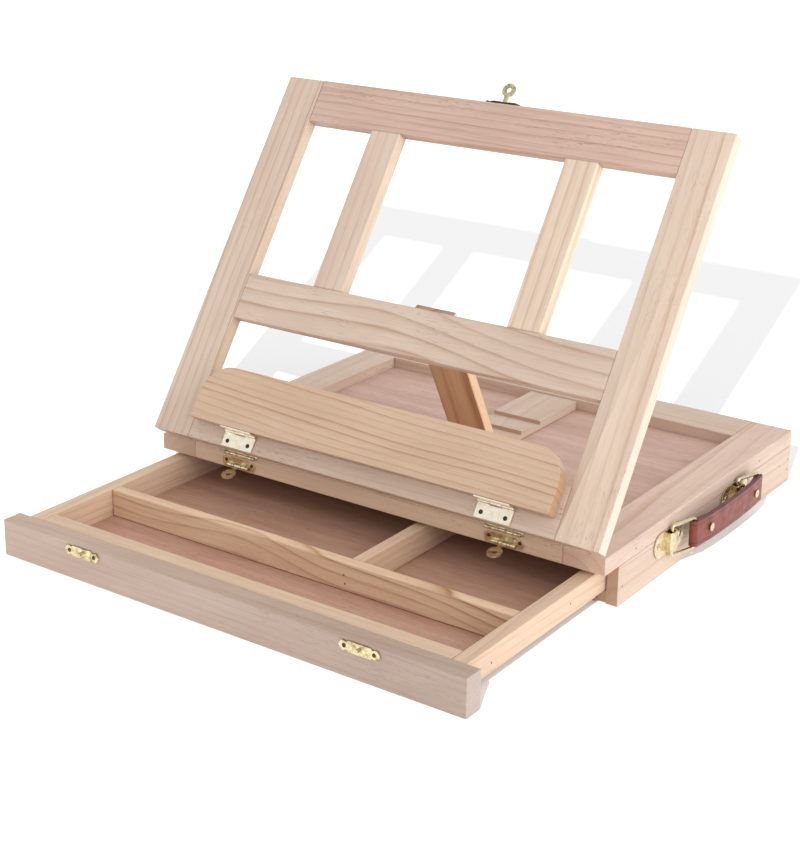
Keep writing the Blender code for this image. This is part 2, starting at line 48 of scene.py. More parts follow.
# The drawing frame's hinge axis and tilt, and the prop's lean, in the resting pose.
easel_axis = Vector(joints["easel_tilt"]["pos_m"])
TILT = math.radians(55.7)
LEAN = math.radians(27.4)
X = Vector((1, 0, 0))
Y = Vector((0, 1, 0))
Z = Vector((0, 0, 1))
UP_FRAME = Vector((0, math.cos(TILT), math.sin(TILT)))
OUT_FRAME = Vector((0, -math.sin(TILT), math.cos(TILT)))
DOWN_LEG = Vector((0, math.sin(LEAN), -math.cos(LEAN)))
STRAP_CENTRE_Z = 0.021


def linear(red, green, blue):
    """Scene-linear colour from display values between 0 and 255."""
    def channel(value):
        value /= 255
        return value / 12.92 if value <= 0.04045 else ((value + 0.055) / 1.055) ** 2.4
    return (channel(red), channel(green), channel(blue), 1.0)


def deeper(colour, share):
    """The same colour with its light cut to a share."""
    return tuple(value * share for value in colour[:3]) + (1.0,)


# --- Materials -------------------------------------------------------------------------------------


class Nodes:
    """Small helper that adds and links shader nodes."""

    def __init__(self, name):
        self.material = bpy.data.materials.new(name)
        self.material.use_nodes = True
        self.tree = self.material.node_tree
        self.shader = self.tree.nodes["Principled BSDF"]

    def node(self, kind, **settings):
        made = self.tree.nodes.new(kind)
        for key, value in settings.items():
            setattr(made, key, value)
        return made

    def link(self, source, target):
        if hasattr(source, "default_value") or hasattr(source, "is_output"):
            self.tree.links.new(source, target)
        else:
            target.default_value = source

    def math(self, operation, first, second=0.0, third=0.0, clamp=False):
        made = self.node("ShaderNodeMath", operation=operation, use_clamp=clamp)
        for value, socket in zip((first, second, third), made.inputs):
            self.link(value, socket)
        return made.outputs[0]

    def vector(self, operation, first, second=(0, 0, 0)):
        made = self.node("ShaderNodeVectorMath", operation=operation)
        self.link(first, made.inputs[0])
        self.link(second, made.inputs[1])
        return made.outputs["Value" if operation in ("DOT_PRODUCT", "LENGTH") else "Vector"]

    def combine(self, x, y, z):
        made = self.node("ShaderNodeCombineXYZ")
        for value, socket in zip((x, y, z), made.inputs):
            self.link(value, socket)
        return made.outputs[0]

    def noise(self, where, scale=1.0, detail=2.0, rough=0.5, colour=False):
        made = self.node("ShaderNodeTexNoise")
        self.link(where, made.inputs["Vector"])
        made.inputs["Scale"].default_value = scale
        made.inputs["Detail"].default_value = detail
        made.inputs["Roughness"].default_value = rough
        return made.outputs["Color" if colour else 0]

    def ramp(self, factor, stops):
        made = self.node("ShaderNodeValToRGB")
        self.link(factor, made.inputs[0])
        elements = made.color_ramp.elements
        while len(elements) < len(stops):
            elements.new(0.5)
        for element, (position, value) in zip(elements, stops):
            element.position = position
            element.color = value if isinstance(value, tuple) else (value, value, value, 1.0)
        return made.outputs[0]

    def spread(self, value, low, high, to_low=0.0, to_high=1.0):
        made = self.node("ShaderNodeMapRange")
        self.link(value, made.inputs[0])
        for socket, setting in zip(made.inputs[1:5], (low, high, to_low, to_high)):
            socket.default_value = setting
        return made.outputs[0]

    def mix(self, factor, first, second, blend='MIX'):
        made = self.node("ShaderNodeMix", data_type='RGBA', blend_type=blend)
        self.link(factor, made.inputs[0])
        self.link(first, made.inputs[6])
        self.link(second, made.inputs[7])
        return made.outputs[2]

    def bump(self, height, strength, distance):
        made = self.node("ShaderNodeBump")
        made.inputs["Strength"].default_value = strength
        made.inputs["Distance"].default_value = distance
        self.link(height, made.inputs["Height"])
        self.link(made.outputs[0], self.shader.inputs["Normal"])


def board_coordinates(work, origin, along, across):
    """Millimetre coordinates of a board: along its grain, across its face and through it."""
    where = work.node("ShaderNodeTexCoord").outputs["Object"]
    shifted = work.vector("SUBTRACT", where, tuple(origin))
    return [work.vector("DOT_PRODUCT", shifted, tuple(axis / MM))
            for axis in (along, across, along.cross(across))]


# Half the length in mm over which a board's painted light ramp runs from one end's brightness to the other's.
SHADE_REACH = 165.0


def pine(name, origin, along, across, seed, early, late, pitch=4.5, pith=(30.0, 40.0), slope=(0.02, 0.0),
         warp=5.0, crests=(), contrast=0.8, dashes=0.5, streaks=0.2, painted_light_and_grain_tints=(), shade=None):
    """Solid pine: growth rings about a pith line beside the board, fibres, resin dashes and end grain.

    early and late are the colours of a ring's pale and dark wood; pitch is the ring spacing in mm;
    pith is the ring centre from the board's own centre; slope tilts it along the board;
    crests are (place along, height, length) swells of the rings; warp is how far the rings wander in mm;
    dashes and streaks are the strengths of the resin dashes and of the fine lines along the grain;
    the face tint pairs (direction, colour) paint faces turned that way: mostly painted light on faces toward
    the side light or up and painted shade on faces away, some end or edge grain; shade is painted light too,
    the brightness at the board's two ends as the light falls along it.
    """
    work = Nodes(name)
    length, width, depth = board_coordinates(work, origin, along, across)
    offset = seed * 17.3
    far = work.combine(work.math("MULTIPLY_ADD", length, 1 / 170, offset),
                       work.math("MULTIPLY_ADD", width, 1 / 45, offset * 0.7),
                       work.math("MULTIPLY", depth, 1 / 45))
    near = work.combine(work.math("MULTIPLY_ADD", length, 1 / 42, offset),
                        work.math("MULTIPLY_ADD", width, 1 / 9, 3.1),
                        work.math("MULTIPLY", depth, 1 / 9))
    far_wave = work.node("ShaderNodeSeparateXYZ")
    work.link(work.noise(far, 1.0, 1.5, 0.5, True), far_wave.inputs[0])
    near_wave = work.noise(near, 1.0, 2.0)
    wander = work.math("SUBTRACT", far_wave.outputs[0], 0.5)
    from_pith = work.math("MULTIPLY_ADD", length, slope[0], work.math("SUBTRACT", width, pith[0]))
    ring_across = work.math("MULTIPLY_ADD", wander, warp * 2, from_pith)
    ring_across = work.math("MULTIPLY_ADD", work.math("SUBTRACT", near_wave, 0.5), 1.3, ring_across)
    wander = work.math("SUBTRACT", far_wave.outputs[1], 0.5)
    from_pith = work.math("MULTIPLY_ADD", length, slope[1], work.math("SUBTRACT", depth, pith[1]))
    ring_depth = work.math("MULTIPLY_ADD", wander, warp * 2, from_pith)
    for place, height, span in crests:
        reach = work.math("DIVIDE", work.math("SUBTRACT", length, place), span)
        swell = work.math("POWER", math.e, work.math("MULTIPLY", work.math("MULTIPLY", reach, reach), -1.0))
        ring_across = work.math("MULTIPLY_ADD", swell, -height, ring_across)
    distance = work.vector("LENGTH", work.combine(ring_across, ring_depth, 0.0))
    phase = work.math("DIVIDE", distance, pitch)
    ring_number = work.math("FLOOR", phase)
    part = work.math("FRACT", phase)
    grain = work.ramp(part, [(0.0, 0.0), (0.40, 0.05), (0.66, 0.22), (0.80, 0.62), (0.88, 1.0), (0.93, 0.35),
                             (1.0, 0.0)])
    vary = work.node("ShaderNodeTexWhiteNoise", noise_dimensions='1D')
    work.link(work.math("ADD", ring_number, offset), vary.inputs["W"])
    ring_strength = work.spread(vary.outputs[0], 0.0, 1.0, 0.35 * contrast, contrast)
    broken = work.spread(work.noise(near, 1.7, 2.0), 0.3, 0.7, 0.65, 1.1)
    grain = work.math("MULTIPLY", work.math("MULTIPLY", grain, ring_strength), broken, clamp=True)

    tone = work.spread(work.noise(far, 2.3, 3.0), 0.35, 0.65)
    second = tuple(value * shift for value, shift in zip(early, (0.93, 0.90, 0.90, 1.0)))
    colour = work.mix(tone, early, second)
    colour = work.mix(grain, colour, late)

    fibre_place = work.combine(work.math("MULTIPLY", length, 1 / 16), work.math("MULTIPLY", width, 1 / 0.5),
                               work.math("MULTIPLY", depth, 1 / 0.5))
    fibre = work.noise(fibre_place, 1.0, 3.0, 0.6)
    colour = work.mix(work.spread(fibre, 0.35, 0.75, 0.0, 0.22), colour, deeper(late, 0.80))

    streak_place = work.combine(work.math("MULTIPLY_ADD", length, 1 / 85, offset), width, depth)
    streak = work.spread(work.noise(streak_place, 1.0, 1.0), 0.54, 0.70, 0.0, streaks)
    colour = work.mix(streak, colour, deeper(late, 0.86))

    dash_place = work.combine(work.math("MULTIPLY_ADD", length, 1 / 4.6, offset),
                              work.math("MULTIPLY", width, 1 / 0.5), work.math("MULTIPLY", depth, 1 / 0.5))
    dash = work.ramp(work.noise(dash_place, 1.0, 0.0), [(0.0, 0.0), (0.68, 0.0), (0.78, 1.0), (1.0, 1.0)])
    clusters = work.spread(work.noise(far, 3.0, 1.0), 0.46, 0.60, 0.04, 0.9)
    dash = work.math("MULTIPLY", work.math("MULTIPLY", dash, clusters), dashes, clamp=True)
    colour = work.mix(dash, colour, deeper(late, 0.46))

    # End grain is duller, browner and finely pored.
    facing = work.node("ShaderNodeTexCoord").outputs["Normal"]
    end = work.math("ABSOLUTE", work.vector("DOT_PRODUCT", facing, tuple(along)))
    end = work.ramp(end, [(0.0, 0.0), (0.82, 0.0), (0.93, 1.0), (1.0, 1.0)])
    pores = work.noise(work.combine(width, depth, 0.0), 2.2, 2.0)
    end_colour = work.mix(work.spread(pores, 0.3, 0.7), work.mix(0.25, colour, late), deeper(late, 0.86))
    colour = work.mix(work.math("MULTIPLY", end, 0.8), colour, end_colour)
    # Faces turned one way take a tint: mostly painted light toward the side light and painted shade away from
    # it, some end or edge grain.
    for direction, tint in painted_light_and_grain_tints:
        turned = work.spread(work.vector("DOT_PRODUCT", facing, tuple(direction)), 0.7, 0.9)
        colour = work.mix(turned, colour, work.mix(1.0, colour, tint, 'MULTIPLY'))
    # Painted light: the board's brightness runs from one end's tone to the other's, as the light falls along
    # it.
    if shade:
        painted_light_along = work.spread(length, -SHADE_REACH, SHADE_REACH, *shade)
        colour = work.mix(1.0, colour, work.combine(painted_light_along, painted_light_along, painted_light_along), 'MULTIPLY')
    work.link(colour, work.shader.inputs["Base Color"])
    work.link(work.spread(fibre, 0.2, 0.8, 0.5, 0.66), work.shader.inputs["Roughness"])
    work.shader.inputs["Specular IOR Level"].default_value = 0.32
    height = work.math("MULTIPLY_ADD", grain, -0.35, work.math("MULTIPLY", fibre, 0.5))
    height = work.math("MULTIPLY_ADD", dash, -0.5, height)
    work.bump(height, 0.35, 0.00012)
    return work.material


def plywood(name, origin, along, across, seed, base, streak):
    """Rotary-cut veneer: soft broad figure with fine pores along the grain."""
    work = Nodes(name)
    length, width, depth = board_coordinates(work, origin, along, across)
    offset = seed * 11.1
    broad = work.combine(work.math("MULTIPLY_ADD", length, 1 / 120, offset),
                         work.math("MULTIPLY", width, 1 / 16), 0.0)
    streaks = work.noise(broad, 1.0, 4.0, 0.6)
    fibres = work.combine(work.math("MULTIPLY", length, 1 / 22), work.math("MULTIPLY", width, 1 / 0.7), depth)
    fine = work.noise(fibres, 1.0, 3.0, 0.6)
    pores = work.combine(work.math("MULTIPLY", length, 1 / 5), work.math("MULTIPLY", width, 1 / 0.45), depth)
    pore = work.noise(pores, 1.0, 0.0)
    pore = work.ramp(pore, [(0.0, 0.0), (0.66, 0.0), (0.76, 1.0), (1.0, 1.0)])
    colour = work.mix(work.spread(streaks, 0.3, 0.7), base, streak)
    colour = work.mix(work.spread(fine, 0.35, 0.75, 0.0, 0.45), colour, deeper(streak, 0.72))
    colour = work.mix(work.math("MULTIPLY", pore, 0.4), colour, deeper(streak, 0.5))
    work.link(colour, work.shader.inputs["Base Color"])
    work.link(work.spread(fine, 0.2, 0.8, 0.5, 0.68), work.shader.inputs["Roughness"])
    work.shader.inputs["Specular IOR Level"].default_value = 0.3
    work.bump(work.math("MULTIPLY_ADD", pore, -0.6, fine), 0.3, 0.0001)
    return work.material


def brass(name, colour, tarnish_and_dark_reflection, rough=0.22, brushed=True):
    """Plated brass: fine brushing, faint blotches, partly tarnished brass and partly painted dark reflection,
    and uneven polish.
    """
    work = Nodes(name)
    where = work.node("ShaderNodeTexCoord").outputs["Object"]
    place = work.vector("MULTIPLY", where, (1000.0, 1000.0, 1000.0))
    blotch = work.noise(place, 0.34, 4.0, 0.65)
    stretched = work.vector("MULTIPLY", where, (350.0, 3200.0, 3200.0))
    scratch = work.noise(stretched, 1.0, 3.0, 0.7)
    # Painted reflection, partly tarnished brass: dark blotches stand in for the dark surroundings the brass
    # reflects.
    mixed = work.mix(work.spread(blotch, 0.42, 0.72, 0.0, 0.75), colour, tarnish_and_dark_reflection)
    work.link(mixed, work.shader.inputs["Base Color"])
    work.shader.inputs["Metallic"].default_value = 1.0
    roughness = work.math("MULTIPLY_ADD", work.spread(blotch, 0.35, 0.75), 0.16,
                          work.spread(scratch, 0.2, 0.8, rough, rough + 0.1))
    work.link(roughness, work.shader.inputs["Roughness"])
    work.bump(scratch, 0.25 if brushed else 0.08, 0.00004)
    return work.material


def leather(name, base, dark):
    """Smooth dyed leather: fine pebble, a pressed groove and darker edge along each side, faint creases; the
    groove and creases are painted with shade.
    """
    work = Nodes(name)
    where = work.node("ShaderNodeTexCoord").outputs["Object"]
    place = work.vector("MULTIPLY", where, (1000.0, 1000.0, 1000.0))
    pebble = work.node("ShaderNodeTexVoronoi", feature='DISTANCE_TO_EDGE')
    work.link(place, pebble.inputs["Vector"])
    pebble.inputs["Scale"].default_value = 1.5
    blotch = work.noise(place, 0.12, 4.0, 0.6)
    crease = work.noise(work.vector("MULTIPLY", where, (900.0, 110.0, 900.0)), 1.0, 3.0)
    split = work.node("ShaderNodeSeparateXYZ")
    work.link(where, split.inputs[0])
    aside = work.math("ABSOLUTE", work.math("SUBTRACT", split.outputs[2], STRAP_CENTRE_Z))
    groove = work.ramp(work.spread(aside, 0.0054, 0.0083), [(0.0, 0.0), (0.18, 1.0), (0.32, 1.0), (0.46, 0.0),
                                                            (0.80, 0.0), (1.0, 0.9)])
    colour = work.mix(work.spread(blotch, 0.35, 0.7), base, dark)
    # Painted shade: the creases and the pressed groove are darkened in colour, on top of their bumps.
    colour = work.mix(work.spread(crease, 0.55, 0.75, 0.0, 0.22), colour, deeper(dark, 0.55))
    colour = work.mix(work.math("MULTIPLY", groove, 0.75), colour, deeper(dark, 0.35))
    work.link(colour, work.shader.inputs["Base Color"])
    work.link(work.spread(blotch, 0.3, 0.7, 0.32, 0.5), work.shader.inputs["Roughness"])
    height = work.math("MULTIPLY_ADD", crease, -0.6, work.spread(pebble.outputs[0], 0.0, 0.25))
    height = work.math("MULTIPLY_ADD", groove, -1.2, height)
    work.bump(height, 0.3, 0.0001)
    return work.material


def give(node_name, material):
    """Make a material the only one on a CAD node."""
    item = nodes[node_name]
    item.data.materials.clear()
    item.data.materials.append(material)


def soften(node_name, width):
    """Ease a node's sharp edges by a width in mm, after joining doubled corners."""
    item = nodes[node_name]
    weld = item.modifiers.new("Weld", 'WELD')
    weld.merge_threshold = 0.02 * MM
    bevel = item.modifiers.new("Eased", 'BEVEL')
    bevel.width = width * MM
    bevel.segments = 2
    bevel.limit_method = 'ANGLE'
    bevel.angle_limit = math.radians(28)
    bevel.harden_normals = False


# Wood tones: the pale wood between the rings, then the darker wood of the rings.
CREAM = linear(230, 210, 190)
BLUSH = linear(230, 205, 190)
SAND = linear(215, 195, 178)
HONEY = linear(222, 196, 170)
GINGER = linear(235, 206, 175)
TAN = linear(212, 185, 160)
ROSE = linear(205, 178, 162)
ASH = linear(186, 166, 152)
AMBER = linear(235, 195, 155)
UMBER = linear(170, 125, 95)

WHEAT = linear(186, 146, 114)
NUT = linear(172, 134, 104)
GOLD_BROWN = linear(175, 128, 88)
RUST = linear(158, 112, 86)
DRIFTWOOD = linear(160, 130, 110)
RESIN = linear(165, 110, 68)

# Tints laid on the faces of a board that look one way: mostly painted light and shade by how the side light
# falls, some where end or edge grain differs.
# Painted light: faces turned to the side light, paler.
PAINTED_LIGHT_PALER = (1.15, 1.18, 1.14, 1.0)
# Painted light: the brightest faces turned to the side light, much paler and less saturated.
PAINTED_LIGHT_PALEST = (1.3, 1.5, 1.7, 1.0)
# Painted light: top faces, a little paler.
PAINTED_LIGHT_ON_TOP = (1.1, 1.08, 1.05, 1.0)
# Painted light: faces turned to the side light, paler and cooler.
PAINTED_LIGHT_COOLER = (1.06, 1.10, 1.14, 1.0)
# Painted shade: faces painted duller.
PAINTED_SHADE_DULLER = (0.88, 0.90, 0.89, 1.0)
# Painted shade, partly end grain: a darker front end.
PAINTED_SHADE_AND_END_GRAIN = (0.78, 0.74, 0.70, 1.0)
# Painted shade with warm bounce light: faces turned away, darker and browner.
PAINTED_SHADE_BROWNER = (0.75, 0.55, 0.40, 1.0)
REDDER = (0.78, 0.92, 1.2, 1.0)

# Rounding of the edges, in mm.
BOARD_EDGE = 0.25
BRASS_EDGE = 0.12
STRAP_EDGE = 0.8

# Pine boards: node, grain direction, face direction, then the board's own look, with painted light and shade
# on some faces and along some boards. Their order seeds the grain.
BOARDS = {
    "easel_left_stile": (UP_FRAME, X, dict(
        early=SAND, late=NUT, pitch=6.2, pith=(88, 24), slope=(0.012, 0.0), warp=2.5, contrast=1.0,
        dashes=0.25, streaks=0.22, painted_light_and_grain_tints=((X, PAINTED_LIGHT_PALER),))),
    "easel_right_stile": (UP_FRAME, X, dict(
        early=CREAM, late=WHEAT, pitch=8.2, pith=(-84, 26), slope=(0.014, 0.0), warp=2.2, contrast=0.7,
        dashes=0.35, streaks=0.12, painted_light_and_grain_tints=((X, PAINTED_LIGHT_COOLER),))),
    "easel_top_rail": (X, UP_FRAME, dict(
        early=ROSE, late=RUST, pitch=5.0, pith=(-58, 26), slope=(0.022, 0.0), warp=4, contrast=0.7,
        dashes=0.5, streaks=0.2, shade=(0.97, 1.08))),
    "easel_mid_rail": (X, UP_FRAME, dict(
        early=SAND, late=NUT, pitch=8.5, pith=(-30, 22), slope=(0.05, 0.0), warp=5,
        crests=((-20, 12, 70),), contrast=0.85, dashes=0.42, streaks=0.12)),
    "easel_bottom_rail": (X, UP_FRAME, dict(
        early=SAND, late=NUT, pitch=5.5, pith=(10, 30), contrast=0.4, dashes=0.6, streaks=0.15)),
    "easel_left_muntin": (UP_FRAME, X, dict(
        early=SAND, late=WHEAT, pitch=6.0, pith=(54, 26), warp=2.5, contrast=0.6, dashes=0.25,
        painted_light_and_grain_tints=((X, PAINTED_LIGHT_PALER),))),
    "easel_right_muntin": (UP_FRAME, X, dict(
        early=CREAM, late=WHEAT, pitch=7.0, pith=(60, 26), warp=2.5, contrast=0.7, dashes=0.25,
        painted_light_and_grain_tints=((X, PAINTED_LIGHT_PALER),))),
    "ledge_board": (X, UP_FRAME, dict(
        early=TAN, late=GOLD_BROWN, pitch=4.6, pith=(-66, 20), slope=(0.035, 0.0), warp=4.5, contrast=1.0,
        dashes=0.2, streaks=0.14)),
    "prop_leg": (DOWN_LEG, X, dict(
        early=AMBER, late=RESIN, pitch=11.0, pith=(18, 26), contrast=0.8, dashes=0.3,
        painted_light_and_grain_tints=((-DOWN_LEG, REDDER), (X, PAINTED_LIGHT_PALEST)))),
    "prop_rack": (Y, X, dict(
        early=SAND, late=WHEAT, pitch=5.0, pith=(10, 30), contrast=0.4, dashes=0.3)),
    "case_front_rail": (X, Z, dict(
        early=HONEY, late=WHEAT, pitch=5.0, pith=(26, 10), contrast=0.5, dashes=0.6)),
    "case_back_rail": (X, Y, dict(
        early=SAND, late=WHEAT, pitch=6.0, pith=(10, 30), contrast=0.55, dashes=0.4)),
    "case_left_rail": (Y, X, dict(
        early=SAND, late=WHEAT, pitch=5.6, pith=(20, 34), contrast=0.5, dashes=0.4)),
    "case_right_rail": (Y, X, dict(
        early=BLUSH, late=WHEAT, pitch=8.5, pith=(-26, 30), slope=(0.05, 0.0), contrast=0.6, dashes=0.35,
        painted_light_and_grain_tints=((X, PAINTED_SHADE_DULLER),))),
    "case_left_side": (Y, Z, dict(
        early=HONEY, late=WHEAT, pitch=5.0, pith=(30, 12), contrast=0.5, dashes=0.3)),
    "case_right_side": (Y, Z, dict(
        early=SAND, late=WHEAT, pitch=6.0, pith=(-34, 14), slope=(0.04, 0.0), contrast=0.65, dashes=0.3,
        painted_light_and_grain_tints=((-Y, PAINTED_SHADE_AND_END_GRAIN),))),
    "case_back": (X, Z, dict(
        early=HONEY, late=WHEAT, pitch=5.6, pith=(-16, 22), contrast=0.55, dashes=0.4)),
    "drawer_front": (X, Z, dict(
        early=ASH, late=DRIFTWOOD, pitch=4.6, pith=(34, 10), slope=(0.02, 0.0), contrast=0.6, dashes=0.3,
        painted_light_and_grain_tints=((Z, PAINTED_LIGHT_ON_TOP), (X, PAINTED_LIGHT_PALEST)), shade=(1.08, 0.9))),
    "drawer_inner_front": (X, Z, dict(
        early=HONEY, late=WHEAT, pitch=5.0, pith=(20, 12), contrast=0.5, dashes=0.3)),
    "drawer_left_side": (Y, Z, dict(
        early=HONEY, late=WHEAT, pitch=5.2, pith=(22, 14), slope=(0.04, 0.0), contrast=0.9, dashes=0.2)),
    "drawer_right_side": (Y, Z, dict(
        early=HONEY, late=WHEAT, pitch=5.6, pith=(22, 14), slope=(0.04, 0.0), contrast=0.6, dashes=0.2)),
    "drawer_back": (X, Z, dict(
        early=UMBER, late=RESIN, pitch=5.0, pith=(20, 12), contrast=0.5, dashes=0.3)),
    "drawer_long_divider": (X, Z, dict(
        early=GINGER, late=RESIN, pitch=7.0, pith=(-16, 6), slope=(0.06, 0.0), warp=6,
        crests=((-40, 9, 50), (90, 6, 60)), contrast=1.1, dashes=0.25)),
    "drawer_cross_divider": (Y, Z, dict(
        early=HONEY, late=GOLD_BROWN, pitch=5.0, pith=(18, 10), contrast=0.5, dashes=0.2,
        painted_light_and_grain_tints=((-X, PAINTED_SHADE_BROWNER),))),
}
for seed, (node_name, (along, across, look)) in enumerate(BOARDS.items(), 1):
    low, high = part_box(node_name)
    give(node_name, pine("pine_" + node_name, (low + high) / 2, along, across, seed, **look))
    soften(node_name, BOARD_EDGE)

VENEERS = {
    "case_top_panel": (linear(220, 188, 175), linear(195, 160, 145)),
    "case_bottom_panel": (linear(205, 170, 155), linear(185, 145, 130)),
    "drawer_floor": (linear(205, 168, 148), linear(180, 135, 112)),
}
for seed, (node_name, (base, streak)) in enumerate(VENEERS.items(), 1):
    low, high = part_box(node_name)
    give(node_name, plywood("veneer_" + node_name, (low + high) / 2, X, Y, seed, base, streak))

# Painted reflection: the ledge hinges' brass is made near white where it reflects the white studio.
BRASS_PALE_PAINTED_REFLECTION = brass("brass_pale_painted_reflection", linear(250, 243, 226), linear(232, 214, 180), 0.26)
BRASS_GOLD = brass("brass_gold", linear(240, 224, 184), linear(88, 66, 34), 0.2)
BRASS_KEEPER = brass("brass_keeper", linear(225, 208, 165), linear(80, 62, 34), 0.2)
BRASS_POLISHED = brass("brass_polished", linear(226, 212, 178), linear(184, 162, 120), 0.14, False)
# Painted highlight: the front latches' brass is a brighter gold, as it looks catching the light.
BRASS_LATCH_PAINTED_HIGHLIGHT = brass("brass_latch_painted_highlight", linear(252, 240, 205), linear(90, 66, 32), 0.14, False)
BRASS_OLIVE = brass("brass_olive", linear(210, 202, 160), linear(66, 60, 36), 0.2, False)
BRASS_DARK = brass("brass_dark", linear(96, 84, 62), linear(44, 36, 24), 0.3, False)


def metal_of(node_name):
    """Brass of a hardware node; some copies carry painted reflection or painted highlight."""
    if node_name.startswith("ledge_hinge"):
        return BRASS_PALE_PAINTED_REFLECTION
    if node_name.startswith("handle_"):
        return BRASS_POLISHED
    if node_name == "top_latch_plate":
        return BRASS_DARK
    if node_name == "top_hasp":
        return BRASS_OLIVE
    if node_name.startswith(("front_latch", "front_hasp")):
        return BRASS_LATCH_PAINTED_HIGHLIGHT
    return BRASS_KEEPER if "keeper" in node_name else BRASS_GOLD


for node_name in nodes:
    if node_name == "handle_grip":
        give(node_name, leather("strap_leather", linear(132, 56, 40), linear(112, 45, 33)))
        soften(node_name, STRAP_EDGE)
    elif node_name not in BOARDS and node_name not in VENEERS:
        give(node_name, metal_of(node_name))
        if not node_name.startswith("handle_ring"):
            soften(node_name, BRASS_EDGE)

# --- Screws and nails -------------------------------------------------------------------------------


def facing_matrix(place, normal, turn=0.0):
    """Frame at a place whose Z points along normal, turned about it."""
    turned = Vector(normal).to_track_quat('Z', 'Y').to_matrix().to_4x4()
    return Matrix.Translation(place) @ turned @ Matrix.Rotation(turn, 4, 'Z')


def add_rings(mesh, rings, where):
    """Close a stack of equal outlines, low to high, into one shell."""
    made = [[mesh.verts.new(where @ Vector(point)) for point in ring] for ring in rings]
    for lower, upper in zip(made, made[1:]):
        for index in range(len(lower)):
            after = (index + 1) % len(lower)
            mesh.faces.new((lower[index], lower[after], upper[after], upper[index]))
    mesh.faces.new(list(reversed(made[0])))
    mesh.faces.new(made[-1])


def unit_circle(count):
    """Evenly spaced points of a circle of radius 1."""
    return [(math.cos(step * math.tau / count), math.sin(step * math.tau / count)) for step in range(count)]


def domed_head(mesh, where, radius, height, slot):
    """Slotted round head: a disc under two half domes parted by the slot."""
    disc = [(radius * x, radius * y) for x, y in unit_circle(24)]
    add_rings(mesh, [[(x, y, z) for x, y in disc] for z in (-0.1 * MM, height * 0.28)], where)
    half_angles = [math.radians(-80 + step * 16) for step in range(11)]
    for side in (1, -1):
        rings = []
        for spread, lift in ((1.0, 0.2), (0.97, 0.45), (0.80, 0.78), (0.45, 1.0)):
            ring = [(side * max(slot, radius * spread * math.cos(angle)), radius * spread * math.sin(angle),
                     height * lift) for angle in half_angles]
            ring = [(side * slot, ring[0][1], ring[0][2])] + ring + [(side * slot, ring[-1][1], ring[-1][2])]
            rings.append(ring if side > 0 else list(reversed(ring)))
        add_rings(mesh, rings, where)


def piece(name, body, build, material):
    """Link a built mesh as one piece that rides on a body."""
    mesh = bmesh.new()
    build(mesh)
    bmesh.ops.remove_doubles(mesh, verts=mesh.verts, dist=0.001 * MM)
    bmesh.ops.recalc_face_normals(mesh, faces=mesh.faces)
    data = bpy.data.meshes.new(name)
    mesh.to_mesh(data)
    mesh.free()
    data.materials.append(material)
    item = bpy.data.objects.new(name, data)
    bpy.context.scene.collection.objects.link(item)
    data.shade_smooth()
    data.set_sharp_from_angle(angle=math.radians(25))
    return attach(item, body)


SLOT_HALF_WIDTH = 0.22
SLOT_TURN = 1.9


def screws(name, body, spots, normal, material, radius=1.5, height=0.55, turn=0.6):
    """A pair of slotted screws, each slot turned its own way."""
    def build(mesh):
        for index, spot in enumerate(spots):
            where = facing_matrix(spot, normal, turn + index * SLOT_TURN)
            domed_head(mesh, where, radius * MM, height * MM, SLOT_HALF_WIDTH * MM)
    return piece(name, body, build, material)


def on_face(node_name, share):
    """Point on a node's box; share places it along X, Y and Z."""
    low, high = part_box(node_name)
    return Vector([start + (end - start) * part for start, end, part in zip(low, high, share)])


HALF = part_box("case_right_side")[1].x / MM
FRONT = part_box("case_front_rail")[0].y / MM
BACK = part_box("case_back_rail")[1].y / MM
PLATE_THICKNESS = 0.8
LEDGE_HINGE_X = 98.0
LATCH_X = 102.4
LATCH_SCREW_Z = 31.9
KEEPER_SCREW_Z = 19.2
LATCH_PLATE_OUT = 1.1
TOP_LATCH_X = 3.5
# Up the drawing frame and out of its face.
LEDGE_SCREW_PLACE = (4.2, 10.68)
TOP_SCREW_PLACE = (265.1, 7.2)
# Distances of each plate's two screws from its middle.
LEDGE_SCREWS = (-8.5, 8.5)
KEEPER_SCREWS = (-9.9, 9.9)
LATCH_SCREWS = (-10.6, 10.9)
TOP_LATCH_SCREWS = (-10.9, 10.6)
BRACKET_SCREWS = (-13.2, 13.2)


def on_case(x, y, z):
    """World point from the case's own mm."""
    return Vector((x, y, z)) * MM


# From the hinge axis to the drawing frame's lower back edge.
AXIS_TO_EDGE = 1.5
AXIS_TO_BACK = 0.3


def on_frame(x, up, out):
    """World point from drawing-frame coordinates in mm: across, up its face, out of its face."""
    origin = easel_axis + UP_FRAME * AXIS_TO_EDGE * MM + OUT_FRAME * AXIS_TO_BACK * MM
    return origin + X * x * MM + UP_FRAME * up * MM + OUT_FRAME * out * MM


for side, sign in (("left", -1), ("right", 1)):
    screws("ledge_screws_" + side, "easel",
           [on_frame(sign * LEDGE_HINGE_X + offset, *LEDGE_SCREW_PLACE) for offset in LEDGE_SCREWS],
           OUT_FRAME, BRASS_DARK, 1.45, 0.5)
    low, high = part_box("drawer_keeper_" + side)
    middle_x = (low.x + high.x) / 2
    plate_face = high.y - PLATE_THICKNESS * MM
    screws("keeper_screws_" + side, "drawer",
           [Vector((middle_x + offset * MM, plate_face, KEEPER_SCREW_Z * MM)) for offset in KEEPER_SCREWS],
           -Y, BRASS_DARK, 1.25)
    screws("latch_screws_" + side, "case",
           [on_case(sign * LATCH_X + offset, FRONT - LATCH_PLATE_OUT, LATCH_SCREW_Z)
            for offset in LATCH_SCREWS],
           -Y, BRASS_DARK, 1.2)

